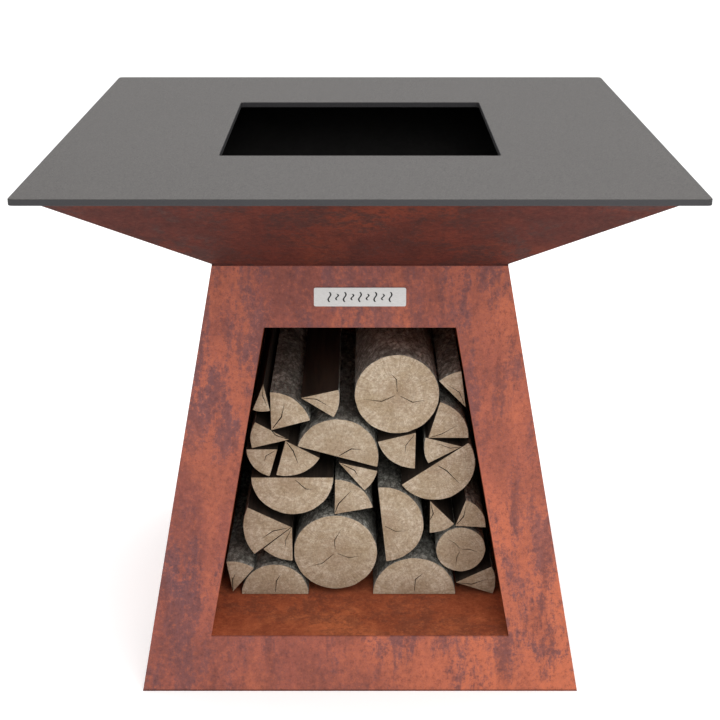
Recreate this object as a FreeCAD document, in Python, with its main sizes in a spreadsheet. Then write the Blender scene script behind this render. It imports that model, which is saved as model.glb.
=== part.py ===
"""A square fire table: a tapered steel stand with a wood store, a fire bowl, a cooking plate and a grate.

Origin: on the ground, at the middle of the stand's foot. +Z is up, and -Y is the front, where the wood store
opens. Lengths are in millimetres. Every sub-part is one document object, and its Label names its STEP file.
"""
import FreeCAD, Part
import math
import os
import Sketcher

from FreeCAD import Placement, Rotation, Vector

OUT = "parts"

# Driving dimensions: alias, value, what it is.
SIZES = [
    ("plate_width", 1000, "cooking plate, side of the square"),
    ("plate_thickness", 10, "cooking plate"),
    ("plate_corner", 8, "cooking plate, radius of its four corners"),
    ("hole_width", 450, "fire hole in the cooking plate, side of the square"),
    ("hole_corner", 6, "fire hole, radius of its four corners"),
    ("edge_break", 1, "chamfer round the top of the cooking plate"),
    ("lug_length", 60, "locating lug under the plate, along the rim"),
    ("lug_thickness", 5, "locating lug, across the rim"),
    ("lug_drop", 20, "locating lug, how far it hangs down"),
    ("lug_clearance", 1.5, "between a lug and the rim's inner edge"),
    ("base_width", 750, "stand at the ground, side of the square"),
    ("waist_width", 484, "stand at its top, side of the square"),
    ("stand_height", 726, "stand, ground to waist"),
    ("sheet", 3, "stand and bowl panels, thickness of the sheet"),
    ("foot_width", 40, "flat bars round the foot, how far they reach in"),
    ("foot_thickness", 3, "flat bars round the foot"),
    ("top_thickness", 4, "stand's top plate"),
    ("opening_bottom", 98, "wood store's opening, height of its lower edge"),
    ("top_strip", 100, "panel left above the opening, measured upright"),
    ("side_strip", 102, "panel left each side of the opening, measured level"),
    ("floor_thickness", 3, "wood store's floor"),
    ("ledge_width", 25, "ledges under the floor, how far they reach in"),
    ("ledge_thickness", 4, "ledges under the floor"),
    ("liner", 2, "wood store's side walls and ceiling"),
    ("badge_length", 151, "badge on the front panel"),
    ("badge_height", 31, "badge, along the slope"),
    ("badge_thickness", 1.5, "badge"),
    ("badge_corner", 3, "badge, radius of its corners"),
    ("bowl_height", 169, "bowl, waist to the underside of the cooking plate"),
    ("rim_width", 940, "bowl at its rim, side of the square"),
    ("bowl_floor", 3, "bowl's floor"),
    ("rim_bar", 35, "rim's flat bars, width"),
    ("rim_thickness", 4, "rim's flat bars"),
    ("bolt_diameter", 8, "bolts from the bowl's floor to the stand"),
    ("bolt_clearance", 0.5, "all round a bolt in its hole"),
    ("bolt_inset", 27, "bolt's axis from the edge of the bowl's floor"),
    ("head_across", 15, "bolt head and nut, across the corners"),
    ("head_height", 5.5, "bolt head"),
    ("nut_height", 6.5, "nut"),
    ("washer_diameter", 17, "washer"),
    ("washer_thickness", 1.6, "washer"),
    ("bolt_tail", 4, "bolt beyond its nut"),
    ("grate_width", 400, "fire grate, side of the square"),
    ("grate_bar_height", 25, "grate's frame bars"),
    ("grate_bar_thickness", 5, "grate's frame bars"),
    ("grate_leg_height", 40, "grate's legs"),
    ("grate_leg_width", 20, "grate's legs, side of the square"),
    ("rod_diameter", 12, "grate's rods"),
    ("rod_pitch", 32.5, "grate's rods, middle to middle"),
    ("handle_diameter", 8, "grate's lifting handles, round bar"),
    ("handle_length", 100, "lifting handle, middle to middle of its feet"),
    ("handle_height", 45, "lifting handle, foot to middle of its grip"),
    ("handle_bend", 16, "lifting handle, radius of its bends"),
    ("log_setback", 43, "log ends behind the panel at the opening's upper edge"),
    ("log_back_gap", 24, "log ends in front of the back panel"),
    ("log_gap", 0.4, "between a log and what it rests on"),
    ("wall_gap", 1.5, "between a log and the store's side wall"),
]

# The firewood, bottom row first: place of the heart, radius, heading of the middle of the split piece and the
# angle that it spans. Lengths are in millimetres from the middle of the store's floor, and angles in degrees
# from +X towards +Z. STACK_WIDTH and STACK_HEIGHT are the store that the stack is laid out for.
STACK_WIDTH = 510
STACK_HEIGHT = 528
LOGS = [
    (-153, 0, 62, 90, 180),
    (98, 0, 76, 90, 180),
    (-42, 87, 76, 0, 360),
    (172, 25, 74, 4, 46),
    (-230, 5, 65, 75, 48),
    (185, 98, 46, 0, 360),
    (-122, 137, 70, 245, 50),
    (37, 146, 76, 6, 180),
    (-128, 144, 88, 186, 66),
    (170, 144, 56, 34, 74),
    (123, 189, 65, 292, 44),
    (-45, 162, 70, 50, 78),
    (-121, 234, 74, 270, 180),
    (132, 265, 72, 305, 180),
    (-143, 293, 56, 217, 74),
    (-129, 309, 70, 293, 76),
    (-32, 267, 71, 328, 37),
    (-37, 278, 73, 74, 180),
    (101, 321, 70, 232, 75),
    (173, 299, 68, 187, 44),
    (-126, 314, 69, 172, 44),
    (120, 318, 72, 37, 74),
    (59, 392, 74, 0, 360),
    (-148, 333, 72, 53, 75),
    (-169, 409, 53, 265, 34),
    (184, 366, 69, 116, 36),
    (-102, 390, 69, 350, 46),
]
ROUND_LOG = 360

doc = FreeCAD.newDocument("FireTable")
sheet = doc.addObject("Spreadsheet::Sheet", "Sizes")
subparts = []

# Expressions in the sheet's aliases. A height is given as an expression too.
LEAN = "((Sizes.base_width - Sizes.waist_width) / 2 / Sizes.stand_height)"
SKIN = f"(Sizes.sheet * sqrt(1 + {LEAN}^2))"
LINER = f"(Sizes.liner * sqrt(1 + {LEAN}^2))"
OPENING_TOP = "(Sizes.stand_height - Sizes.top_strip)"
WALL_FOOT = "(Sizes.stand_height + Sizes.bowl_floor)"
RIM_TOP = "(Sizes.stand_height + Sizes.bowl_height)"
WALL_TOP = f"({RIM_TOP} - Sizes.rim_thickness)"
FLARE = f"((Sizes.rim_width - Sizes.waist_width) / 2 / ({WALL_TOP} - {WALL_FOOT}))"
WALL = f"(Sizes.sheet * sqrt(1 + {FLARE}^2))"
FLOOR_TOP = "Sizes.opening_bottom"
FLOOR_FOOT = "(Sizes.opening_bottom - Sizes.floor_thickness)"
TOP_FOOT = "(Sizes.stand_height - Sizes.top_thickness)"
GRATE_FOOT = f"({WALL_FOOT} + Sizes.grate_leg_height)"
GRATE_TOP = f"({GRATE_FOOT} + Sizes.grate_bar_height)"
GRATE_HALF = "(Sizes.grate_width / 2)"


def size(alias):
    """A driving dimension as a number."""
    return float(sheet.get(alias))


def number(expression):
    """What an expression in the sheet's aliases comes to."""
    return float(sheet.evalExpression(expression.replace("Sizes.", "")))


def outside(height):
    """Half the stand's outer width at a height."""
    return f"(Sizes.base_width / 2 - ({height}) * {LEAN})"


def inside(height):
    """Half the stand's inner width at a height."""
    return f"({outside(height)} - {SKIN})"


def opening(height):
    """Half the width of the wood store's opening at a height."""
    return f"({outside(height)} - Sizes.side_strip)"


def bowl(height):
    """Half the bowl's outer width at a height."""
    return f"(Sizes.waist_width / 2 + (({height}) - {WALL_FOOT}) * {FLARE})"


def bind(item, **expressions):
    """Bind properties of a document object to expressions. A double underscore stands for a dot."""
    for name, expression in expressions.items():
        item.setExpression(name.replace("__", "."), str(expression))
    return item


def keep(item, label):
    """Make a document object a sub-part."""
    item.Label = label
    subparts.append(item)
    return item


def fill_sheet():
    """Write the driving dimensions into the spreadsheet."""
    for row, (alias, value, note) in enumerate(SIZES, start=1):
        sheet.set(f"A{row}", alias)
        sheet.set(f"B{row}", str(value))
        sheet.set(f"C{row}", note)
        sheet.setAlias(f"B{row}", alias)
    doc.recompute()


# ---- shapes ----------------------------------------------------------------------------------------------


def slab(name, low, high, x_range, y_range):
    """A solid with level top and bottom between two heights.

    x_range and y_range are functions of a height that give the (low, high) expressions there, so the sides
    lean as those do."""
    (x_low, x_high), (x_low_top, x_high_top) = x_range(low), x_range(high)
    (y_low, y_high), (y_low_top, y_high_top) = y_range(low), y_range(high)
    wedge = doc.addObject("Part::Wedge", name)
    wedge.Placement = Placement(Vector(), Rotation(Vector(1, 0, 0), 90))  # the wedge's Y is up, its Z is -Y
    return bind(
        wedge,
        Ymin=low, Ymax=high,
        Xmin=x_low, Xmax=x_high, X2min=x_low_top, X2max=x_high_top,
        Zmin=f"-({y_high})", Zmax=f"-({y_low})", Z2min=f"-({y_high_top})", Z2max=f"-({y_low_top})",
    )


def around(half):
    """The range from -half to half at every height."""
    return lambda height: (f"-{half(height)}", half(height))


def low_side(half, depth):
    """The range from -half inwards by depth at every height."""
    return lambda height: (f"-{half(height)}", f"-{half(height)} + {depth}")


def high_side(half, depth):
    """The range up to half from depth inside it at every height."""
    return lambda height: (f"{half(height)} - {depth}", half(height))


def box(name, x_range, y_range, z_range):
    """A Part::Box between three pairs of expressions."""
    item = doc.addObject("Part::Box", name)
    (x_low, x_high), (y_low, y_high), (z_low, z_high) = x_range, y_range, z_range
    return bind(
        item,
        Length=f"({x_high}) - ({x_low})", Width=f"({y_high}) - ({y_low})", Height=f"({z_high}) - ({z_low})",
        Placement__Base__x=x_low, Placement__Base__y=y_low, Placement__Base__z=z_low,
    )


def cylinder(name, radius, height, x, y, z):
    """An upright Part::Cylinder whose foot stands at a place."""
    item = doc.addObject("Part::Cylinder", name)
    return bind(
        item, Radius=radius, Height=height,
        Placement__Base__x=x, Placement__Base__y=y, Placement__Base__z=z,
    )


def hexagon(name, across, height, x, y, z):
    """An upright Part::Prism with six sides whose foot stands at a place."""
    item = doc.addObject("Part::Prism", name)
    item.Polygon = 6
    return bind(
        item, Circumradius=f"{across} / 2", Height=height,
        Placement__Base__x=x, Placement__Base__y=y, Placement__Base__z=z,
    )


def cut(name, base, tool):
    """A Part::Cut of one object by another."""
    item = doc.addObject("Part::Cut", name)
    item.Base, item.Tool = base, tool
    return item


def fuse(name, items):
    """A Part::MultiFuse of several objects."""
    item = doc.addObject("Part::MultiFuse", name)
    item.Shapes = items
    return item


def group(name, items):
    """A Part::Compound, whose members stay separate solids."""
    item = doc.addObject("Part::Compound", name)
    item.Links = items
    return item


def four_corners(make, reach):
    """make(number, x, y) at the four corners of a square that reaches that far from the axis."""
    signs = [(-1, -1), (1, -1), (1, 1), (-1, 1)]
    return [make(n, f"{x} * {reach}", f"{y} * {reach}") for n, (x, y) in enumerate(signs, start=1)]


def ring_of_bars(name, half, width, low, high):
    """Four flat bars that make a square frame: two run right across, and two fit between them."""
    across, between = around(half), around(lambda height: f"({half(height)} - {width})")
    bars = [
        slab(f"{name}_front", low, high, across, low_side(half, width)),
        slab(f"{name}_back", low, high, across, high_side(half, width)),
        slab(f"{name}_left", low, high, low_side(half, width), between),
        slab(f"{name}_right", low, high, high_side(half, width), between),
    ]
    return group(name, bars)


def origin_plane(body, role):
    """One of a body's own origin planes."""
    return next(f for f in body.Origin.OriginFeatures if f.Role == role)


def square_sketch(body, name, width, height):
    """A rectangle about the origin of a body's XY plane, its sides bound to two expressions."""
    sketch = body.newObject("Sketcher::SketchObject", name)
    sketch.AttachmentSupport = [(origin_plane(body, "XY_Plane"), "")]
    sketch.MapMode = "FlatFace"
    corners = [Vector(-10, -10), Vector(10, -10), Vector(10, 10), Vector(-10, 10)]
    for n in range(4):
        sketch.addGeometry(Part.LineSegment(corners[n], corners[(n + 1) % 4]))
    for n in range(4):
        sketch.addConstraint(Sketcher.Constraint("Coincident", n, 2, (n + 1) % 4, 1))
    for n, way in enumerate(["Horizontal", "Vertical", "Horizontal", "Vertical"]):
        sketch.addConstraint(Sketcher.Constraint(way, n))
    sketch.addConstraint(Sketcher.Constraint("Symmetric", 0, 1, 1, 2, -1, 1))
    for side, label, expression in ((0, "width", width), (1, "height", height)):
        at = sketch.addConstraint(Sketcher.Constraint("Distance", side, 20))
        sketch.renameConstraint(at, label)
        sketch.setExpression(f"Constraints.{label}", expression)
    return sketch


def upright_edges(feature, reach):
    """Names of a feature's upright edges that stand less than reach from the axis, or further for -reach."""
    found = []
    for n, edge in enumerate(feature.Shape.Edges, start=1):
        start, end = edge.Vertexes[0].Point, edge.Vertexes[-1].Point
        upright = abs(start.x - end.x) < 1e-6 and abs(start.y - end.y) < 1e-6
        near = max(abs(start.x), abs(start.y)) < abs(reach)
        if upright and near == (reach > 0):
            found.append(f"Edge{n}")
    return found


# ---- the stand -------------------------------------------------------------------------------------------


def make_stand_panels():
    """Four leaning panels. Front and back run right across, and the sides fit between them."""
    low, high = "0", "Sizes.stand_height"
    blank = slab("front_blank", low, high, around(outside), low_side(outside, SKIN))
    cutter = slab(
        "opening_cutter", FLOOR_TOP, OPENING_TOP, around(opening),
        lambda height: (f"-{outside(height)} - Sizes.sheet", f"-{inside(height)} + Sizes.sheet"),
    )
    keep(cut("front_cut", blank, cutter), "front_panel")
    keep(slab("back", low, high, around(outside), high_side(outside, SKIN)), "back_panel")
    keep(slab("left", low, high, low_side(outside, SKIN), around(inside)), "left_panel")
    keep(slab("right", low, high, high_side(outside, SKIN), around(inside)), "right_panel")


def make_stand_inside():
    """What the panels hold: foot bars, the floor on its ledges, the store's liner and the top plate."""
    keep(ring_of_bars("foot", inside, "Sizes.foot_width", "0", "Sizes.foot_thickness"), "foot_bars")
    ledge_foot = f"({FLOOR_FOOT} - Sizes.ledge_thickness)"
    keep(ring_of_bars("ledge", inside, "Sizes.ledge_width", ledge_foot, FLOOR_FOOT), "floor_ledges")
    keep(slab("floor", FLOOR_FOOT, FLOOR_TOP, around(inside), around(inside)), "store_floor")

    def beside(height):
        return f"({opening(height)} + {LINER})"

    low, high = FLOOR_TOP, OPENING_TOP
    keep(slab("wall_left", low, high, low_side(beside, LINER), around(inside)), "store_left_wall")
    keep(slab("wall_right", low, high, high_side(beside, LINER), around(inside)), "store_right_wall")
    ceiling_top = f"({OPENING_TOP} + Sizes.liner)"

    def over_walls(height):
        return beside(OPENING_TOP)

    keep(slab("ceiling", high, ceiling_top, around(over_walls), around(inside)), "store_ceiling")
    blank = slab("top_blank", TOP_FOOT, "Sizes.stand_height", around(inside), around(inside))
    keep(cut("top_cut", blank, bolt_holes("top", TOP_FOOT, "Sizes.top_thickness")), "stand_top_plate")


def make_badge():
    """A blank badge that lies on the front panel, half way up the strip over the opening."""
    body = doc.addObject("PartDesign::Body", "badge")
    sketch = square_sketch(body, "badge_outline", "Sizes.badge_length", "Sizes.badge_height")
    pad = body.newObject("PartDesign::Pad", "badge_pad")
    pad.Profile = sketch
    bind(pad, Length="Sizes.badge_thickness")
    doc.recompute()
    corners = body.newObject("PartDesign::Fillet", "badge_corners")
    corners.Base = (pad, upright_edges(pad, max(size("badge_length"), size("badge_height"))))
    bind(corners, Radius="Sizes.badge_corner")
    middle = "(Sizes.stand_height - Sizes.top_strip / 2)"
    body.Placement = Placement(Vector(), Rotation(Vector(1, 0, 0), 80))
    bind(
        body,
        Placement__Base__y=f"-{outside(middle)}",
        Placement__Base__z=middle,
        Placement__Rotation__Angle=f"90 deg - atan({LEAN})",
    )
    keep(body, "badge_plate")


# ---- the bowl --------------------------------------------------------------------------------------------


def make_bowl():
    """Four flared walls on a floor, with flat bars round the rim that carry the cooking plate."""

    def inner(height):
        return f"({bowl(height)} - {WALL})"

    low, high = WALL_FOOT, WALL_TOP
    keep(slab("bowl_front", low, high, around(bowl), low_side(bowl, WALL)), "bowl_front_wall")
    keep(slab("bowl_back", low, high, around(bowl), high_side(bowl, WALL)), "bowl_back_wall")
    keep(slab("bowl_left", low, high, low_side(bowl, WALL), around(inner)), "bowl_left_wall")
    keep(slab("bowl_right", low, high, high_side(bowl, WALL), around(inner)), "bowl_right_wall")

    def waist(height):
        return "(Sizes.waist_width / 2)"

    def rim(height):
        return "(Sizes.rim_width / 2)"

    blank = slab("bowl_floor_blank", "Sizes.stand_height", WALL_FOOT, around(waist), around(waist))
    floor_holes = bolt_holes("bowl_floor", "Sizes.stand_height", "Sizes.bowl_floor")
    keep(cut("bowl_floor_cut", blank, floor_holes), "bowl_floor")
    keep(ring_of_bars("rim", rim, "Sizes.rim_bar", WALL_TOP, RIM_TOP), "bowl_rim")


BOLT_REACH = "(Sizes.waist_width / 2 - Sizes.bolt_inset)"
BOLT_RADIUS = "(Sizes.bolt_diameter / 2)"
HOLE_RADIUS = f"({BOLT_RADIUS} + Sizes.bolt_clearance)"


def bolt_holes(name, foot, depth):
    """Four cutters for the bolts' clearance holes."""

    def hole(n, x, y):
        return cylinder(f"{name}_hole_{n}", HOLE_RADIUS, depth, x, y, foot)

    return group(f"{name}_holes", four_corners(hole, BOLT_REACH))


def make_bolts():
    """Four bolts with their washers and nuts hold the bowl's floor to the stand's top plate."""
    washer_foot = f"({TOP_FOOT} - Sizes.washer_thickness)"
    nut_foot = f"({washer_foot} - Sizes.nut_height)"
    tail_foot = f"({nut_foot} - Sizes.bolt_tail)"

    def bolt(n, x, y):
        shank = cylinder(f"shank_{n}", BOLT_RADIUS, f"{WALL_FOOT} - {tail_foot}", x, y, tail_foot)
        head = hexagon(f"head_{n}", "Sizes.head_across", "Sizes.head_height", x, y, WALL_FOOT)
        return fuse(f"bolt_{n}", [shank, head])

    def washer(n, x, y):
        disc = cylinder(f"disc_{n}", "Sizes.washer_diameter / 2", "Sizes.washer_thickness", x, y, washer_foot)
        bore = cylinder(f"disc_bore_{n}", HOLE_RADIUS, "Sizes.washer_thickness", x, y, washer_foot)
        return cut(f"washer_{n}", disc, bore)

    def nut(n, x, y):
        blank = hexagon(f"nut_blank_{n}", "Sizes.head_across", "Sizes.nut_height", x, y, nut_foot)
        bore = cylinder(f"nut_bore_{n}", BOLT_RADIUS, "Sizes.nut_height", x, y, nut_foot)
        return cut(f"nut_{n}", blank, bore)

    keep(group("bolts", four_corners(bolt, BOLT_REACH)), "bowl_bolts")
    keep(group("washers", four_corners(washer, BOLT_REACH)), "bolt_washers")
    keep(group("nuts", four_corners(nut, BOLT_REACH)), "bolt_nuts")


# ---- the cooking plate -----------------------------------------------------------------------------------


def make_cooking_plate():
    """A square plate with a square fire hole, rounded corners and a broken top edge."""
    body = doc.addObject("PartDesign::Body", "plate")
    bind(body, Placement__Base__z=RIM_TOP)
    pad = body.newObject("PartDesign::Pad", "plate_pad")
    pad.Profile = square_sketch(body, "plate_outline", "Sizes.plate_width", "Sizes.plate_width")
    bind(pad, Length="Sizes.plate_thickness")
    doc.recompute()
    pocket = body.newObject("PartDesign::Pocket", "fire_hole")
    pocket.Profile = square_sketch(body, "hole_outline", "Sizes.hole_width", "Sizes.hole_width")
    pocket.Type = "ThroughAll"
    pocket.Reversed = True
    doc.recompute()
    between = (size("plate_width") + size("hole_width")) / 4
    outer = body.newObject("PartDesign::Fillet", "plate_corners")
    outer.Base = (pocket, upright_edges(pocket, -between))
    bind(outer, Radius="Sizes.plate_corner")
    doc.recompute()
    inner = body.newObject("PartDesign::Fillet", "hole_corners")
    inner.Base = (outer, upright_edges(outer, between))
    bind(inner, Radius="Sizes.hole_corner")
    doc.recompute()
    broken = body.newObject("PartDesign::Chamfer", "broken_edge")
    top = next(
        n for n, face in enumerate(inner.Shape.Faces, start=1)
        if face.normalAt(0, 0).z > 0.9
    )
    broken.Base = (inner, [f"Face{top}"])
    bind(broken, Size="Sizes.edge_break")
    keep(body, "cooking_plate")


def make_lugs():
    """Four lugs under the plate that stand just inside the rim, so that the plate can't slide off."""
    out = "(Sizes.rim_width / 2 - Sizes.rim_bar - Sizes.lug_clearance)"
    thick = (f"{out} - Sizes.lug_thickness", out)
    near = (f"-{out}", f"-{out} + Sizes.lug_thickness")
    along = ("-Sizes.lug_length / 2", "Sizes.lug_length / 2")
    height = (f"{RIM_TOP} - Sizes.lug_drop", RIM_TOP)
    lugs = [
        box("lug_front", along, near, height),
        box("lug_back", along, thick, height),
        box("lug_left", near, along, height),
        box("lug_right", thick, along, height),
    ]
    keep(group("lugs", lugs), "locating_lugs")


# ---- the fire grate --------------------------------------------------------------------------------------


def make_grate():
    """A square frame on four legs, filled with rods, that stands on the bowl's floor."""

    def half(height):
        return GRATE_HALF

    bar = "Sizes.grate_bar_thickness"
    keep(ring_of_bars("grate", half, bar, GRATE_FOOT, GRATE_TOP), "grate_frame")

    def leg(n, x, y):
        wide = "Sizes.grate_leg_width / 2"
        return box(f"leg_{n}", (f"{x} - {wide}", f"{x} + {wide}"), (f"{y} - {wide}", f"{y} + {wide}"),
                   (WALL_FOOT, GRATE_FOOT))

    keep(group("legs", four_corners(leg, f"({GRATE_HALF} - Sizes.grate_leg_width / 2)")), "grate_legs")

    clear = size("grate_width") / 2 - size("grate_bar_thickness") - size("rod_diameter")
    each_side = int(clear // size("rod_pitch"))
    rods = []
    for n in range(-each_side, each_side + 1):
        rod = doc.addObject("Part::Cylinder", f"rod_{n + each_side + 1}")
        rod.Placement = Placement(Vector(), Rotation(Vector(1, 0, 0), 90))  # the rod runs along -Y
        bind(
            rod,
            Radius="Sizes.rod_diameter / 2",
            Height=f"2 * ({GRATE_HALF} - {bar})",
            Placement__Base__x=f"{n} * Sizes.rod_pitch",
            Placement__Base__y=f"{GRATE_HALF} - {bar}",
            Placement__Base__z=f"({GRATE_FOOT} + {GRATE_TOP}) / 2",
        )
        rods.append(rod)
    keep(group("rods", rods), "grate_rods")


def handle_path(x, foot):
    """The middle line of a lifting handle: up, along and down again, with round bends."""
    half, high, bend = size("handle_length") / 2, size("handle_height"), size("handle_bend")
    side = bend * (1 - math.sqrt(0.5))
    top, level = foot + high, high - bend
    edges = [Part.LineSegment(Vector(x, -half, foot), Vector(x, -half, foot + level)).toShape()]
    edges.append(Part.Arc(
        Vector(x, -half, foot + level), Vector(x, -half + side, top - side), Vector(x, -half + bend, top)
    ).toShape())
    edges.append(Part.LineSegment(Vector(x, -half + bend, top), Vector(x, half - bend, top)).toShape())
    edges.append(Part.Arc(
        Vector(x, half - bend, top), Vector(x, half - side, top - side), Vector(x, half, foot + level)
    ).toShape())
    edges.append(Part.LineSegment(Vector(x, half, foot + level), Vector(x, half, foot)).toShape())
    return Part.Wire(edges)


def make_handles():
    """Two round-bar handles that stand on the grate's side bars."""
    foot = number(GRATE_TOP)
    reach = size("grate_width") / 2 - size("grate_bar_thickness") / 2
    bars = []
    for side in (-1, 1):
        path = handle_path(side * reach, foot)
        start = path.Edges[0].Vertexes[0].Point
        ring = Part.Wire([Part.Circle(start, Vector(0, 0, 1), size("handle_diameter") / 2).toShape()])
        bars.append(path.makePipeShell([ring], True, False))
    item = doc.addObject("Part::Feature", "handles")
    item.Shape = Part.makeCompound(bars)
    keep(item, "grate_handles")


# ---- the firewood ----------------------------------------------------------------------------------------


def section(radius, heading, spread):
    """A log's section as a face in the XY plane, its heart at the origin."""
    if spread == ROUND_LOG:
        return Part.Face(Part.Wire([Part.Circle(Vector(), Vector(0, 0, 1), radius).toShape()]))

    def on_bark(angle):
        return Vector(math.cos(math.radians(angle)), math.sin(math.radians(angle)), 0) * radius

    start, middle, end = (on_bark(heading + spread * share) for share in (-0.5, 0, 0.5))
    bark = Part.Arc(start, middle, end).toShape()
    sides = [Part.LineSegment(Vector(), start).toShape(), Part.LineSegment(end, Vector()).toShape()]
    return Part.Face(Part.Wire([sides[0], bark, sides[1]]))


def store_walls():
    """The store's floor and its two side walls as faces in the XY plane, where the floor's top is Y = 0."""
    low, high = number(opening(FLOOR_TOP)), number(opening(OPENING_TOP))
    tall = number(OPENING_TOP) - size("opening_bottom")
    gap = size("wall_gap")
    faces = [[Vector(-low, 0), Vector(low, 0), Vector(low, -tall), Vector(-low, -tall)]]
    for side in (-1, 1):
        foot, top, far = side * (low - gap), side * (high - gap), side * 2 * low
        faces.append([Vector(foot, 0), Vector(top, tall), Vector(far, tall), Vector(far, 0)])
    floor, left, right = (Part.Face(Part.makePolygon(corners + corners[:1])) for corners in faces)
    return floor, Part.makeCompound([left, right])


def settle(shape, walls, heap, gap):
    """Lift a section until it clears the walls and the heap, then slide it onto the nearest log or the floor.

    A side wall that leans over the section as it rises pushes it towards the middle."""
    inward = -1 if shape.Placement.Base.x > 0 else 1
    while min(shape.distToShape(walls)[0], shape.distToShape(heap)[0]) < gap:
        shape.translate(Vector(0, 1, 0))
        while shape.distToShape(walls)[0] < gap:
            shape.translate(Vector(inward, 0, 0))
    far, (points, *_), _ = shape.distToShape(heap)
    shape.translate((points[1] - points[0]) * ((far - gap) / far))


def make_firewood():
    """Split and round logs that lie along Y, each let down onto those under it."""
    store_width = 2 * number(opening(FLOOR_TOP))
    store_height = number(OPENING_TOP) - size("opening_bottom")
    scale = min(store_width / STACK_WIDTH, store_height / STACK_HEIGHT)
    front = size("log_setback") - number(outside(OPENING_TOP))
    back = number(inside(OPENING_TOP)) - size("log_back_gap")
    floor, walls = store_walls()
    placed = [floor]
    for n, (x, rise, radius, heading, spread) in enumerate(LOGS, start=1):
        shape = section(radius * scale, heading, spread)
        shape.translate(Vector(x * scale, rise * scale, 0))
        settle(shape, walls, Part.makeCompound(placed), size("log_gap"))
        placed.append(shape)
        heart = shape.Placement.Base
        log = doc.addObject("Part::Cylinder", f"wood_{n}")
        log.Radius, log.Height, log.Angle = radius * scale, back - front, spread
        turn = Rotation(Vector(0, 1, 0), spread / 2 - heading) * Rotation(Vector(1, 0, 0), 90)
        log.Placement = Placement(Vector(heart.x, back, heart.y + size("opening_bottom")), turn)
        keep(log, f"log_{n:02d}")


# ---- checking and writing --------------------------------------------------------------------------------


def check():
    """Stop if any object failed or any sub-part has no valid shape."""
    for item in doc.Objects:
        failed = {"Invalid", "Error"} & set(item.State)
        if failed:
            raise RuntimeError(f"{item.Label} is {failed}")
    for item in subparts:
        if item.Shape.isNull() or not item.Shape.isValid() or not item.Shape.Solids:
            raise RuntimeError(f"{item.Label} has no valid solid")


def write():
    """Write each sub-part to its own STEP file."""
    os.makedirs(OUT, exist_ok=True)
    for item in subparts:
        item.Shape.exportStep(os.path.join(OUT, f"{item.Label}.step"))


fill_sheet()
make_stand_panels()
make_stand_inside()
make_badge()
make_bowl()
make_bolts()
make_cooking_plate()
make_lugs()
make_grate()
make_handles()
make_firewood()
doc.recompute()
check()
write()
print(len(subparts), "sub-parts")
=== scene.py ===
"""A square fire table: its looks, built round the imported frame.

Run as a script. Lengths are in metres, in the frame's own axes: +Z is up, and -Y is the front.
"""

import math
import random

import bmesh
import bpy
from mathutils import Matrix, Vector, noise


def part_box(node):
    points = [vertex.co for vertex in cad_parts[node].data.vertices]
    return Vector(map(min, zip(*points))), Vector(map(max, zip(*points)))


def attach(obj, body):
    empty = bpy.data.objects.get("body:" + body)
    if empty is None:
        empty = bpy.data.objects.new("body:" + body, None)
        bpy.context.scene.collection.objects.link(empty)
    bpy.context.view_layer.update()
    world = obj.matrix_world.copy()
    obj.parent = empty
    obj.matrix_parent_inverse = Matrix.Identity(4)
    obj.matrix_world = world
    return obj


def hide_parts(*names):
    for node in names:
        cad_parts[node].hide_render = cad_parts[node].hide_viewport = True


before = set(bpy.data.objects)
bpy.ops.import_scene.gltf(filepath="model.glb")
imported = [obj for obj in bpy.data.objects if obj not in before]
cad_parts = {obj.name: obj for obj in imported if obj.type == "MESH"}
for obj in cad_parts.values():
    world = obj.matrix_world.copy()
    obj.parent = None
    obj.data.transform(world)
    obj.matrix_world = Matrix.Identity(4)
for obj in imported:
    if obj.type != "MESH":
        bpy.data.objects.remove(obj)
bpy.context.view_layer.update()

bl_info = {
    "name": "Fire Table",
    "version": (1, 0, 0),
    "blender": (4, 5, 0),
    "location": "3D Viewport > Sidebar > Fire Table",
    "description": "Models a square fire table with its cooking plate, grate and firewood",
    "category": "Add Mesh",
}

STAND, PLATE, GRATE, WOOD = "stand", "cooking_plate", "fire_grate", "firewood"
WELD = 0.00002  # corners closer than this are one, in metres
LOGS = sorted(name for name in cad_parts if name.startswith("log_"))


# ---- shader maths ----------------------------------------------------------------------------------------


class Link:
    """A socket that takes part in Python sums. Each operator adds the node that works it out."""

    def __init__(self, paint, socket):
        self.paint, self.socket = paint, socket

    def _math(self, operation, *values):
        return self.paint.node("ShaderNodeMath", {"operation": operation}, values)

    def __add__(self, other):
        return self._math("ADD", self, other)

    def __sub__(self, other):
        return self._math("SUBTRACT", self, other)

    def __rsub__(self, other):
        return self._math("SUBTRACT", other, self)

    def __mul__(self, other):
        return self._math("MULTIPLY", self, other)

    def __pow__(self, other):
        return self._math("POWER", self, other)

    def __abs__(self):
        return self._math("ABSOLUTE", self)

    __radd__, __rmul__ = __add__, __mul__

    def at_least(self, other):
        return self._math("MAXIMUM", self, other)

    def at_most(self, other):
        return self._math("MINIMUM", self, other)

    def step(self, low, high, out_low=0.0, out_high=1.0):
        """A smooth step from out_low at low to out_high at high."""
        return self.paint.node(
            "ShaderNodeMapRange", {"interpolation_type": "SMOOTHSTEP"},
            {"Value": self, "From Min": low, "From Max": high, "To Min": out_low, "To Max": out_high},
        )

    def wave(self):
        """The sine."""
        return self._math("SINE", self)


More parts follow.
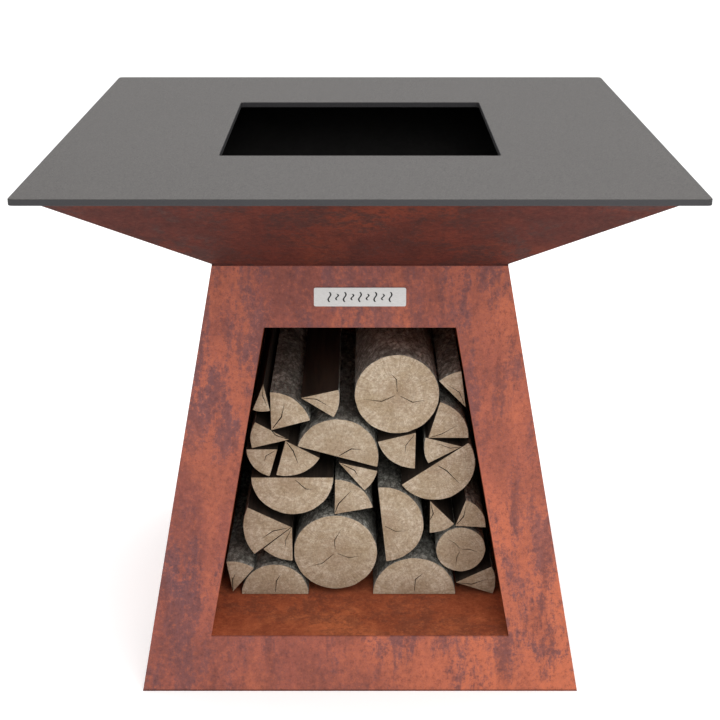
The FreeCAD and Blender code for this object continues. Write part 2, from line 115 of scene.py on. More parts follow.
class Paint:
    """A material under construction."""

    def __init__(self, name):
        self.material = bpy.data.materials.new(name)
        self.material.use_nodes = True
        self.tree = self.material.node_tree
        self.shader = self.tree.nodes["Principled BSDF"]

    def node(self, kind, settings=None, values=(), output=0):
        """Add a node. values is a list in socket order, or a dict by socket name."""
        item = self.tree.nodes.new(kind)
        for name, value in (settings or {}).items():
            setattr(item, name, value)
        pairs = values.items() if isinstance(values, dict) else enumerate(values)
        for key, value in pairs:
            self._feed(item.inputs[key], value)
        return Link(self, item.outputs[output])

    def _feed(self, socket, value):
        if isinstance(value, Link):
            self.tree.links.new(value.socket, socket)
        elif isinstance(value, (tuple, list, Vector)) and socket.type == "RGBA":
            socket.default_value = (*value[:3], 1)
        else:
            socket.default_value = value

    def place(self):
        """Object coordinates."""
        return self.node("ShaderNodeTexCoord", output=3)

    def attribute(self, name, output=1):
        """The piece's own attribute: output 1 is a vector, 2 a number."""
        return self.node("ShaderNodeAttribute", {"attribute_name": name}, output=output)

    def split(self, vector):
        """The three numbers of a vector."""
        separate = self.node("ShaderNodeSeparateXYZ", values=[vector]).socket.node
        return [Link(self, output) for output in separate.outputs]

    def join(self, x, y, z):
        """A vector of three numbers."""
        return self.node("ShaderNodeCombineXYZ", values=[x, y, z])

    def stretch(self, vector, x, y, z):
        """A vector with each of its numbers multiplied."""
        return self.node("ShaderNodeVectorMath", {"operation": "MULTIPLY"}, [vector, (x, y, z)])

    def shift(self, vector, by):
        """A vector with another added."""
        return self.node("ShaderNodeVectorMath", {"operation": "ADD"}, [vector, by])

    def noise(self, vector, scale, detail=3.0, roughness=0.5, distortion=0.0):
        """Soft noise about 0.5."""
        return self.node("ShaderNodeTexNoise", values={
            "Vector": vector, "Scale": scale, "Detail": detail, "Roughness": roughness,
            "Distortion": distortion,
        })

    def cells(self, vector, scale, feature="F1", randomness=1.0):
        """Distance in a field of cells."""
        return self.node("ShaderNodeTexVoronoi", {"feature": feature}, {
            "Vector": vector, "Scale": scale, "Randomness": randomness,
        })

    def mix(self, factor, first, second):
        """first where factor is 0, second where it is 1. Both are colours."""
        item = self.tree.nodes.new("ShaderNodeMix")
        item.data_type, item.clamp_factor = "RGBA", True
        self._feed(item.inputs[0], factor)
        self._feed(item.inputs[6], first)
        self._feed(item.inputs[7], second)
        return Link(self, item.outputs[2])

    def bump(self, height, distance, strength):
        """A normal that is roughened by a height from 0 to 1 times distance, in metres."""
        return self.node("ShaderNodeBump", values={
            "Height": height, "Distance": distance, "Strength": strength,
        })

    def finish(self, **sockets):
        """Feed the shader: Base_Color, Roughness and so on."""
        for name, value in sockets.items():
            self._feed(self.shader.inputs[name.replace("_", " ")], value)
        return self.material


def linear(red, green, blue):
    """A colour given in ordinary 0 to 255 screen numbers, as the shader wants it."""
    def one(value):
        share = value / 255
        return share / 12.92 if share <= 0.04045 else ((share + 0.055) / 1.055) ** 2.4
    return tuple(one(value) for value in (red, green, blue))


# ---- materials -------------------------------------------------------------------------------------------


def rusted_steel(name, dark, mid, bright, scale, seed, soot=False, painted_light_side=False):
    """Weathered steel: mottled rust with purple-grey mill patches, runs down the sheet and fine pitting, a
    painted shadow line along the bottom edge and, where asked, a painted light gradient across the sheet.
    """
    paint = Paint(name)
    place = paint.shift(paint.place(), (seed, seed * 0.7, seed * 0.3))
    clouds = paint.noise(place, 3.4, 4, 0.6)
    blotches = paint.noise(paint.stretch(place, 1.0, 1.0, 0.55), 17.0, 8, 0.8, 0.3)
    runs = paint.noise(paint.stretch(place, 30.0, 30.0, 2.4), 1.0, 5, 0.65, 0.3)
    grit = paint.noise(place, 120.0, 6, 0.82)
    speck = paint.noise(place, 330.0, 4, 0.8)
    scabs = paint.noise(paint.stretch(place, 1.0, 1.0, 0.3), 8.0, 8, 0.8, 0.3)
    patch = blotches * 0.6 + clouds * 0.2 + grit * 0.2
    fresh = paint.noise(paint.stretch(place, 1.0, 1.0, 0.4), 6.5, 5, 0.6, 0.2)
    rust = paint.mix(patch.step(0.34, 0.66), dark, mid)
    x, y, z = paint.split(paint.place())
    if painted_light_side:
        # Painted light: the sheet is brightened towards +X and towards the bottom, as the lamps fall on it,
        # broken up by the blotches.
        painted_light_mask = (x * 0.8 + 0.36 - z * 0.5 + (clouds - 0.5) * 1.0).step(-0.1, 0.75)
        rust = paint.mix(painted_light_mask * (0.3 + blotches * 0.5), rust, bright)
    else:
        rust = paint.mix(clouds.step(0.5, 0.75) * 0.5, rust, bright)
    rust = paint.mix(fresh.step(0.5, 0.62) * 0.3, rust, bright)
    bloom = (scabs * 0.5 + runs * 0.22 + blotches * 0.1 + grit * 0.18).step(0.49, 0.56)
    rust = paint.mix(bloom * (0.4 + clouds.step(0.35, 0.65) * 0.35), rust, scale)
    rust = paint.mix(runs.step(0.5, 0.68) * 0.5, rust, [c * 0.55 for c in mid])
    rust = paint.mix(grit.step(0.5, 0.66) * 0.5, rust, [c * 0.62 for c in dark])
    rust = paint.mix((1 - grit.step(0.36, 0.5)) * 0.22, rust, [min(1, c * 1.15) for c in bright])
    rust = paint.mix(speck.step(0.54, 0.68) * 0.45, rust, [c * 0.55 for c in dark])
    rust = paint.mix((1 - speck.step(0.34, 0.46)) * 0.4, rust, [min(1, c * 1.3) for c in scale])
    relief = grit * 0.5 + speck * 0.3 + blotches * 0.2
    roughness = (0.78 + (grit - 0.5) * 0.4 - bloom * 0.1).at_most(1.0)
    # Painted shadow: a thin dark line along the bottom edge, where the sheet stands on the floor.
    rust = paint.mix((1 - z.step(0.0015, 0.0045)) * 0.6, rust, [c * 0.3 for c in dark])
    if soot:
        facing = paint.split(paint.node("ShaderNodeNewGeometry", output=1))
        inward = 0 - (facing[0] * x + facing[1] * y)
        mask = (inward + (blotches - 0.5) * 0.01).step(-0.002, 0.012).at_least(facing[2].step(0.6, 0.9))
        rust = paint.mix(mask, rust, paint.mix(blotches, linear(12, 12, 12), linear(34, 32, 31)))
        roughness = roughness + mask * 0.15
    return paint.finish(Base_Color=rust, Roughness=roughness, Metallic=0.0, Specular_IOR_Level=0.2,
                        Normal=paint.bump(relief, 0.0012, 0.6))


def grained_plate(colour):
    """Heavy hot-rolled plate: dark grey with a fine cast-like grain and faint heat clouds."""
    paint = Paint("plate_steel")
    place = paint.place()
    grain = paint.noise(place, 520.0, 3, 0.75)
    fine = paint.noise(place, 1300.0, 2, 0.7)
    clouds = paint.noise(place, 4.5, 4, 0.55)
    tone = paint.mix(clouds, [c * 0.85 for c in colour], colour)
    tone = paint.mix(grain.step(0.45, 0.6) * 0.6, tone, linear(52, 50, 49))
    tone = paint.mix(fine.step(0.52, 0.66) * 0.5, tone, linear(138, 132, 128))
    # Painted shade on the plate's side faces, darkened by which way they face; cut steel edges are darker
    # too.
    facing = paint.split(paint.node("ShaderNodeNewGeometry", output=1))
    tone = paint.mix((1 - abs(facing[2]).step(0.3, 0.9)) * 0.75, tone, linear(44, 44, 48))
    relief = grain * 0.7 + fine * 0.3
    return paint.finish(Base_Color=tone, Roughness=0.52 + (grain - 0.5) * 0.3, Metallic=0.35,
                        Specular_IOR_Level=0.4, Normal=paint.bump(relief, 0.0003, 0.5))


def brushed_metal(name, colour, along=(1, 1, 1), roughness=0.36):
    """Bare steel with fine lines along one axis and a little speckle."""
    paint = Paint(name)
    place = paint.place()
    lines = paint.noise(paint.stretch(place, 1800 * along[0], 1800 * along[1], 1800 * along[2]), 1.0, 2, 0.6)
    speck = paint.noise(place, 700.0, 3, 0.7)
    tone = paint.mix(lines.step(0.3, 0.7) * 0.5, colour, [c * 0.78 for c in colour])
    tone = paint.mix(speck.step(0.55, 0.68) * 0.4, tone, [c * 0.6 for c in colour])
    return paint.finish(Base_Color=tone, Roughness=roughness + (lines - 0.5) * 0.2, Metallic=0.55,
                        Normal=paint.bump(lines + speck, 0.0001, 0.4))


def scorched_steel(colour):
    """Grate steel: black scale with dull brown rust on its high spots."""
    paint = Paint("grate_steel")
    place = paint.place()
    scale = paint.noise(place, 60.0, 5, 0.65)
    grit = paint.noise(place, 400.0, 3, 0.7)
    tone = paint.mix(scale.step(0.45, 0.7), colour, linear(58, 42, 36))
    tone = paint.mix(grit.step(0.55, 0.7) * 0.5, tone, linear(80, 76, 72))
    return paint.finish(Base_Color=tone, Roughness=0.62 + (grit - 0.5) * 0.4, Metallic=0.2,
                        Normal=paint.bump(scale + grit, 0.0006, 0.6))


def end_grain(dark, pale):
    """Sawn log end: growth rings, rays, a darker heart, a pale rim and drying checks.

    The attribute "grain" holds each point's place across and along its own log, in metres."""
    paint = Paint("end_grain")
    grain = paint.attribute("grain")
    tone = paint.attribute("tone", 2)
    x, y, z = paint.split(grain)
    wobble = paint.noise(grain, 24.0, 5, 0.7)
    far = (x * x + y * y) ** 0.5
    rings = ((far + (wobble - 0.5) * 0.024) * 1400).wave() * 0.5 + 0.5
    broad = ((far + (wobble - 0.5) * 0.034) * 420 + tone * 9).wave() * 0.5 + 0.5
    angle = paint.node("ShaderNodeMath", {"operation": "ARCTAN2"}, [y, x])
    rays = paint.noise(paint.join(angle * 11, far * 9, z), 2.6, 5, 0.8)
    fibre = paint.noise(grain, 260.0, 5, 0.82)
    saw = paint.noise(paint.stretch(grain, 60.0, 520.0, 60.0), 1.0, 3, 0.7)
    stain = paint.noise(grain, 26.0, 5, 0.7, 0.5)
    wood = paint.mix(stain.step(0.3, 0.7), dark, pale)
    wood = paint.mix(far.step(0.045, 0.008) * (0.1 + stain * 0.7), wood, linear(138, 110, 84))
    wood = paint.mix((stain * 0.7 + broad * 0.3).step(0.5, 0.74) * 0.3, wood, linear(150, 120, 88))
    wood = paint.mix(rings * 0.16, wood, linear(138, 114, 88))
    wood = paint.mix(rays.step(0.46, 0.66) * 0.65, wood, linear(142, 120, 96))
    wood = paint.mix(fibre.step(0.46, 0.62) * 0.6, wood, linear(128, 110, 90))
    wood = paint.mix((1 - fibre.step(0.36, 0.48)) * 0.3, wood, linear(224, 212, 192))
    wood = paint.mix(saw.step(0.5, 0.68) * 0.35, wood, linear(140, 122, 100))
    wood = paint.mix(tone * 0.18, wood, linear(132, 114, 92))
    relief = rings * 0.25 + fibre * 0.5 + rays * 0.6
    return paint.finish(Base_Color=wood, Roughness=0.86 + (fibre - 0.5) * 0.2, Specular_IOR_Level=0.25,
                        Normal=paint.bump(relief, 0.0012, 0.5))


def shaded_split_grain(colour):
    """Split face of a log: long fibres along it, in a near-black dark brown that is painted shade for the
    gaps between the logs.
    """
    paint = Paint("shaded_split_grain")
    grain = paint.attribute("grain")
    tone = paint.attribute("tone", 2)
    fibres = paint.noise(paint.stretch(grain, 190.0, 190.0, 7.0), 1.0, 5, 0.7, 0.4)
    streaks = paint.noise(paint.stretch(grain, 45.0, 45.0, 3.0), 1.0, 4, 0.6, 0.8)
    # Painted shade: the split faces are kept dark to stand for the shade in the gaps between the logs.
    wood = paint.mix(streaks.step(0.35, 0.65), [c * 0.4 for c in colour], colour)
    wood = paint.mix(fibres.step(0.5, 0.7) * 0.55, wood, linear(22, 18, 15))
    wood = paint.mix(tone * 0.2, wood, linear(38, 31, 25))
    return paint.finish(Base_Color=wood, Roughness=0.84, Specular_IOR_Level=0.25,
                        Normal=paint.bump(fibres, 0.0016, 0.7))


def bark(dark, pale):
    """Rough grey bark: long plates with dark furrows between, and pale lichen dust."""
    paint = Paint("bark")
    grain = paint.attribute("grain")
    tone = paint.attribute("tone", 2)
    bend = paint.noise(grain, 40.0, 4, 0.7)
    drift = paint.join(bend * 0.03, bend * 0.03, bend * 0.03)
    place = paint.shift(paint.stretch(grain, 1.0, 1.0, 0.5), drift)
    plates = paint.cells(place, 95.0, "DISTANCE_TO_EDGE")
    flakes = paint.noise(paint.stretch(grain, 1.0, 1.0, 0.6), 110.0, 5, 0.8)
    patch = paint.noise(grain, 14.0, 4, 0.6)
    furrow = plates.step(0.0, 0.16)
    tint = paint.mix(patch.step(0.35, 0.65), dark, pale)
    tint = paint.mix(flakes.step(0.42, 0.62) * 0.7, tint, linear(78, 76, 71))
    tint = paint.mix((1 - flakes.step(0.34, 0.44)) * 0.6, tint, linear(228, 228, 220))
    tint = paint.mix((1 - furrow) * 0.5, tint, linear(52, 49, 45))
    tint = paint.mix(tone * 0.15, tint, linear(110, 104, 94))
    return paint.finish(Base_Color=tint, Roughness=0.93, Specular_IOR_Level=0.2,
                        Normal=paint.bump(furrow * 0.5 + flakes * 0.5, 0.004, 0.8))


def studio_white():
    """Floor of the set."""
    paint = Paint("studio_white")
    return paint.finish(Base_Color=(0.9, 0.9, 0.9), Roughness=0.9, Specular_IOR_Level=0.1,
                        Emission_Color=(1, 1, 1), Emission_Strength=0.35)


MATERIALS = {}


def material(name):
    """A material by name, made the first time that it is asked for."""
    hues = bpy.context.scene.fire_table_colours
    front = [tuple(hue) for hue in (hues.front_dark, hues.front_rust, hues.front_bright_rust_and_light, hues.front_scale)]
    side = [tuple(hue) for hue in (hues.side_dark, hues.side_rust, hues.side_bright, hues.side_scale)]
    # The bowl's colours are darker copies of the stand's rust: painted shade for its down-facing walls under
    # the cooking plate's overhang.
    bowl = [tuple(hue) for hue in (hues.shaded_bowl_dark, hues.shaded_bowl_rust, hues.shaded_bowl_bright, hues.shaded_bowl_scale)]
    store = [tuple(hue) for hue in (hues.store_dark, hues.store_rust, hues.store_bright, hues.store_scale)]
    makers = {
        # The stand's panels take the painted light gradient.
        "front_rust": lambda: rusted_steel("front_rust", *front, 0.0, painted_light_side=True),
        "side_rust": lambda: rusted_steel("side_rust", *side, 3.1),
        "shaded_bowl_rust": lambda: rusted_steel("shaded_bowl_rust", *bowl, 5.7, soot=True),
        "store_rust": lambda: rusted_steel("store_rust", *store, 8.3),
        "plate_steel": lambda: grained_plate(tuple(hues.plate)),
        "badge_steel": lambda: brushed_metal("badge_steel", tuple(hues.badge), (0.08, 1, 1), 0.42),
        "badge_ink": lambda: brushed_metal("badge_ink", tuple(hues.badge_ink), (1, 1, 1), 0.6),
        "bolt_steel": lambda: brushed_metal("bolt_steel", tuple(hues.bolts)),
        "grate_steel": lambda: scorched_steel(tuple(hues.grate)),
        "end_grain": lambda: end_grain(tuple(hues.end_dark), tuple(hues.end_pale)),
        "shaded_split_grain": lambda: shaded_split_grain(tuple(hues.shaded_split_face)),
        "bark": lambda: bark(tuple(hues.bark_dark), tuple(hues.bark_pale)),
        "studio_white": studio_white,
    }
    if name not in MATERIALS:
        MATERIALS[name] = makers[name]()
    return MATERIALS[name]


# ---- modelling -------------------------------------------------------------------------------------------


def deselect():
    """Leave edit mode and select nothing."""
    if bpy.context.mode != "OBJECT":
        bpy.ops.object.mode_set(mode="OBJECT")
    bpy.ops.object.select_all(action="DESELECT")


def choose(item):
    """Make one object the selected and active one."""
    deselect()
    item.select_set(True)
    bpy.context.view_layer.objects.active = item


def edit(item, kind="VERT"):
    """Open one object in edit mode with nothing selected."""
    choose(item)
    bpy.ops.object.mode_set(mode="EDIT")
    bpy.ops.mesh.select_mode(type=kind)
    bpy.ops.mesh.select_all(action="DESELECT")


def select(item, kind, test):
    """Select the vertices, edges or faces of the open object whose middle passes the test."""
    mesh = bmesh.from_edit_mesh(item.data)
    found = 0
    for part in {"VERT": mesh.verts, "EDGE": mesh.edges, "FACE": mesh.faces}[kind]:
        if kind == "VERT":
            chosen = test(part.co, part.normal)
        elif kind == "EDGE":
            chosen = test(part.verts[0].co, part.verts[1].co)
        else:
            chosen = test(part.calc_center_median(), part.normal)
        if chosen:
            part.select_set(True)
            found += 1
    mesh.select_flush_mode()
    bmesh.update_edit_mesh(item.data)
    return found


def close():
    """Leave edit mode."""
    bpy.ops.object.mode_set(mode="OBJECT")


def modify(item, kind, **settings):
    """Add a modifier and apply it."""
    choose(item)
    modifier = item.modifiers.new(kind.lower(), kind)
    for name, value in settings.items():
        setattr(modifier, name, value)
    bpy.ops.object.modifier_apply(modifier=modifier.name)


def settle(item):
    """Put an object's place into its mesh."""
    choose(item)
    bpy.ops.object.transform_apply(location=True, rotation=True, scale=True)


def soften(item, angle=30):
    """Smooth shading up to an angle between faces."""
    choose(item)
    bpy.ops.object.shade_smooth_by_angle(angle=math.radians(angle))


def hand_over(item, name, body, nodes, paints):
    """Name a finished piece, give it its materials, put it on its body and hide the CAD nodes that it stands
    for.
    """
    item.name = item.data.name = name
    if paints:
        item.data.materials.clear()
        for paint in paints:
            item.data.materials.append(material(paint))
    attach(item, body)
    if nodes:
        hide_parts(*nodes)
    return item


def copy_node(node):
    """A CAD node's shape as a clean mesh of whole faces."""
    deselect()
    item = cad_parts[node].copy()
    item.data = item.data.copy()
    item.parent = None
    item.matrix_world = Matrix.Identity(4)
    item.hide_render = item.hide_viewport = False
    for key in list(item.keys()):
        del item[key]
    bpy.context.scene.collection.objects.link(item)
    choose(item)
    bpy.ops.mesh.customdata_custom_splitnormals_clear()
    edit(item)
    bpy.ops.mesh.select_all(action="SELECT")
    bpy.ops.mesh.remove_doubles(threshold=WELD)
    bpy.ops.mesh.dissolve_limited(angle_limit=math.radians(1))
    close()
    return item


def join(items):
    """Several objects as one."""
    deselect()
    for item in items:
        item.select_set(True)
    bpy.context.view_layer.objects.active = items[0]
    if len(items) > 1:
        bpy.ops.object.join()
    return items[0]


def discard(item):
    """Remove an object that has done its work."""
    bpy.data.objects.remove(item, do_unlink=True)


def combine(item, tool, operation, solver="EXACT"):
    """Boolean of one object with another, which is used up."""
    modify(item, "BOOLEAN", object=tool, operation=operation, solver=solver)
    discard(tool)


def welded(nodes):
    """CAD nodes that touch, as one skin."""
    first, *others = [copy_node(node) for node in nodes]
    for other in others:
        combine(first, other, "UNION")
    edit(first)
    bpy.ops.mesh.select_all(action="SELECT")
    bpy.ops.mesh.remove_doubles(threshold=WELD)
    bpy.ops.mesh.dissolve_limited(angle_limit=math.radians(0.5))
    close()
    return first


def ease(item, width, segments=3, angle=30):
    """Round the edges a little, as on real cut sheet, and keep the flats flat."""
    soften(item, 40)
    modify(item, "BEVEL", width=width, segments=segments, limit_method="ANGLE",
           angle_limit=math.radians(angle), use_clamp_overlap=True, harden_normals=True)


def cylinder(radius, low, high, sides):
    """A cylinder between two points."""
    low, high = Vector(low), Vector(high)
    deselect()
    turn = (high - low).to_track_quat("Z", "Y").to_euler()
    bpy.ops.mesh.primitive_cylinder_add(
        vertices=sides, radius=radius, depth=(high - low).length, location=(low + high) / 2, rotation=turn,
    )
    item = bpy.context.object
    settle(item)
    return item


# ---- firewood --------------------------------------------------------------------------------------------

# Heading of the middle of each split piece and the angle that it spans, in degrees from +X towards +Z.
SPLITS = {
    "log_01": (90, 180), "log_02": (90, 180), "log_03": (0, 360), "log_04": (4, 46), "log_05": (75, 48),
    "log_06": (0, 360), "log_07": (245, 50), "log_08": (6, 180), "log_09": (186, 66), "log_10": (34, 74),
    "log_11": (292, 44), "log_12": (50, 78), "log_13": (270, 180), "log_14": (305, 180), "log_15": (217, 74),
    "log_16": (293, 76), "log_17": (328, 37), "log_18": (74, 180), "log_19": (232, 75), "log_20": (187, 44),
    "log_21": (172, 44), "log_22": (37, 74), "log_23": (0, 360), "log_24": (53, 75), "log_25": (265, 34),
    "log_26": (116, 36), "log_27": (350, 46),
}
ROUND_LOG = 360
HALF_LOG = 180
CHECK_REACH = ((0.05, 0.1), (0.3, 0.45), (0.55, 0.8))  # start, kink and end, as shares of the radius
CHECK_WIDTH = (0.0012, 0.0022)
CHECK_DEPTH = (0.006, 0.012)
LOG_APART = 1.7  # from one log to the next in the grain pattern, in metres


def log_place(node):
    """A log's heart (x, z), its radius and the y of its two ends, from its box and its spread."""
    heading, spread = SPLITS[node]
    low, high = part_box(node)
    if spread == ROUND_LOG:
        reach = [(-1, -1), (1, 1)]
    else:
        start, end = heading - spread / 2, heading + spread / 2
        angles = [start, end] + [a for a in range(-360, 721, 90) if start < a < end]
        reach = [(0, 0)] + [(math.cos(math.radians(a)), math.sin(math.radians(a))) for a in angles]
    wide = max(x for x, _ in reach) - min(x for x, _ in reach)
    radius = (high.x - low.x) / wide
    heart = (low.x - min(x for x, _ in reach) * radius, low.z - min(z for _, z in reach) * radius)
    return heart, radius, low.y, high.y


def slice_off(item, point, normal, keep_side=True):
    """Cut the open mesh by a plane. The part that the normal points to goes, unless both sides stay."""
    bpy.ops.mesh.select_all(action="SELECT")
    bpy.ops.mesh.bisect(plane_co=point, plane_no=normal, use_fill=not keep_side, clear_outer=not keep_side)


def blade(start, end, wide_start, wide_end, deep):
    """One thin wedge between two points (x, z) about the origin, as wide as is said at each end."""
    run = Vector(end) - Vector(start)
    deselect()
    bpy.ops.mesh.primitive_cube_add(size=1, location=(0, 0, 0))
    item = bpy.context.object
    edit(item)
    bpy.ops.mesh.select_all(action="SELECT")
    bpy.ops.transform.resize(value=(run.length, 2 * deep, 1))
    bpy.ops.transform.translate(value=(run.length / 2, 0, 0))
    for tip, wide in ((0.0, wide_start), (run.length, wide_end)):
        bpy.ops.mesh.select_all(action="DESELECT")
        select(item, "VERT", lambda at, _: abs(at.x - tip) < 1e-5)
        bpy.ops.transform.resize(value=(1, 1, wide), center_override=(tip, 0, 0))
    close()
    item.matrix_world = (
        Matrix.Translation((start[0], 0, start[1])) @ Matrix.Rotation(-math.atan2(run.y, run.x), 4, "Y")
    )
    settle(item)
    return item


def check_blades(radius, heading, spread, chance):
    """Thin wedges that cut drying checks into a log's end: each runs out from the heart with one kink."""
    if spread == ROUND_LOG:
        headings = [chance.uniform(0, 360)]
        headings += [headings[0] + 120 + chance.uniform(-25, 25), headings[0] + 235 + chance.uniform(-20, 20)]
    else:
        headings = [heading + spread * chance.uniform(-0.3, 0.3)]
    blades = []
    for way in headings:
        near, bend, far = (chance.uniform(*share) * radius for share in CHECK_REACH)
        turn = chance.choice((-1, 1)) * chance.uniform(12, 28)
        points = []
        for reach, angle in ((near, way), (bend, way), (far, way + turn * 0.6)):
            points.append((reach * math.cos(math.radians(angle)), reach * math.sin(math.radians(angle))))
        wide, deep = chance.uniform(*CHECK_WIDTH), chance.uniform(*CHECK_DEPTH)
        blades.append(blade(points[0], points[1], wide * 0.5, wide, deep))
        blades.append(blade(points[1], points[2], wide, wide * 0.15, deep * 0.8))
    return blades


def roughen_bark(item, heart, radius, depth, seed):
    """Sink the bark towards the heart in long furrows and knots, never past the CAD radius."""
    for vertex in item.data.vertices:
        across = Vector((vertex.co.x - heart[0], vertex.co.z - heart[1]))
        if across.length < radius * 0.9:
            continue
        out = across.normalized()
        around = Vector((out.x * radius, vertex.co.y * 0.35, out.y * radius)) + Vector((seed * 3.7, 0, 0))
        furrow = noise.ridged_multi_fractal(around * 34, 1.0, 2.1, 3, 1.0, 2.0) * 0.3
        swell = noise.noise(around * 9) * 0.5 + 0.5
        grit = noise.noise(around * 150) * 0.5 + 0.5
        drop = depth * (0.42 * min(furrow, 1.0) + 0.43 * swell + 0.15 * grit)
        vertex.co.x -= out.x * drop
        vertex.co.z -= out.y * drop


def make_log(node, settings):
    """One round or split log, its ends sawn and its bark rough."""
    number = LOGS.index(node)
    chance = random.Random(number + 11)
    heading, spread = SPLITS[node]
    heart, radius, front, back = log_place(node)
    sides = settings.bark_sides
    item = cylinder(radius, (heart[0], front, heart[1]), (heart[0], back, heart[1]), sides)
    edit(item)
    if spread != ROUND_LOG:
        for turn in (heading - spread / 2 - 90, heading + spread / 2 + 90):
            way = (math.cos(math.radians(turn)), 0, math.sin(math.radians(turn)))
            slice_off(item, (heart[0], 0, heart[1]), way, keep_side=False)
            if spread == HALF_LOG:
                break
    steps = settings.bark_steps
    for step in range(1, steps):
        slice_off(item, (0, front + (back - front) * step / steps, 0), (0, 1, 0))
    close()
    modify(item, "BEVEL", width=settings.log_edge, segments=2, limit_method="ANGLE",
           angle_limit=math.radians(50), use_clamp_overlap=True)
    roughen_bark(item, heart, radius, settings.bark_depth, number)
    for face_y in (front, back):
        for tool in check_blades(radius, heading, spread, chance):
            tool.data.transform(Matrix.Translation((heart[0], face_y, heart[1])))
            combine(item, tool, "DIFFERENCE", "MANIFOLD")
    mesh = item.data
    mesh.materials.clear()
    for paint in ("end_grain", "shaded_split_grain", "bark"):
        mesh.materials.append(material(paint))
    for face in mesh.polygons:
        middle = Vector((face.center.x - heart[0], face.center.z - heart[1]))
        outward = Vector((face.normal.x, face.normal.z)).dot(middle.normalized()) if middle.length else 0
        near_end = min(face.center.y - front, back - face.center.y) < CHECK_DEPTH[1]
        in_check = near_end and middle.length < radius * 0.88 and outward < 0.5
        if abs(face.normal.y) > 0.5 or (in_check and spread == ROUND_LOG):
            face.material_index = 0
        elif outward > 0.5 and middle.length > radius * 0.85:
            face.material_index = 2
        else:
            face.material_index = 1
    shade = chance.random()
    places = [
        number_at
        for vertex in mesh.vertices
        for number_at in (vertex.co.x - heart[0], vertex.co.z - heart[1], vertex.co.y + number * LOG_APART)
    ]
    mesh.attributes.new("grain", "FLOAT_VECTOR", "POINT").data.foreach_set("vector", places)
    mesh.attributes.new("tone", "FLOAT", "POINT").data.foreach_set("value", [shade] * len(mesh.vertices))
    soften(item, 35)
    return hand_over(item, f"{node}_wood", WOOD, [node], ())


# ---- settings --------------------------------------------------------------------------------------------


class FireTableSizes(bpy.types.PropertyGroup):
    """Sizes of the details that the CAD frame leaves out."""

    sheet_edge: bpy.props.FloatProperty(
        name="Sheet edge", description="Radius of the eased edges of the stand's and bowl's sheet",
        default=0.0012, min=0.0, max=0.003, unit="LENGTH", subtype="DISTANCE")
    plate_edge: bpy.props.FloatProperty(
        name="Plate edge", description="Radius of the eased edges of the cooking plate",
        default=0.0009, min=0.0, max=0.003, unit="LENGTH", subtype="DISTANCE")
    small_edge: bpy.props.FloatProperty(
        name="Small edge", description="Radius of the eased edges of bars, bolts and the badge",
        default=0.0006, min=0.0, max=0.002, unit="LENGTH", subtype="DISTANCE")
    log_edge: bpy.props.FloatProperty(
        name="Log edge", description="How far a log's sharp edges are worn off",
        default=0.0012, min=0.0, max=0.004, unit="LENGTH", subtype="DISTANCE")
    bark_depth: bpy.props.FloatProperty(
        name="Bark depth", description="How deep the bark's furrows go",
        default=0.0045, min=0.0, max=0.01, unit="LENGTH", subtype="DISTANCE")
    bark_sides: bpy.props.IntProperty(
        name="Bark sides", description="Faces round a whole log", default=90, min=24, max=180)
    bark_steps: bpy.props.IntProperty(
        name="Bark steps", description="Faces along a log", default=30, min=6, max=80)
    weld_bead: bpy.props.FloatProperty(
        name="Weld bead", description="Thickness of the weld round a grate rod's end",
        default=0.0022, min=0.0005, max=0.005, unit="LENGTH", subtype="DISTANCE")


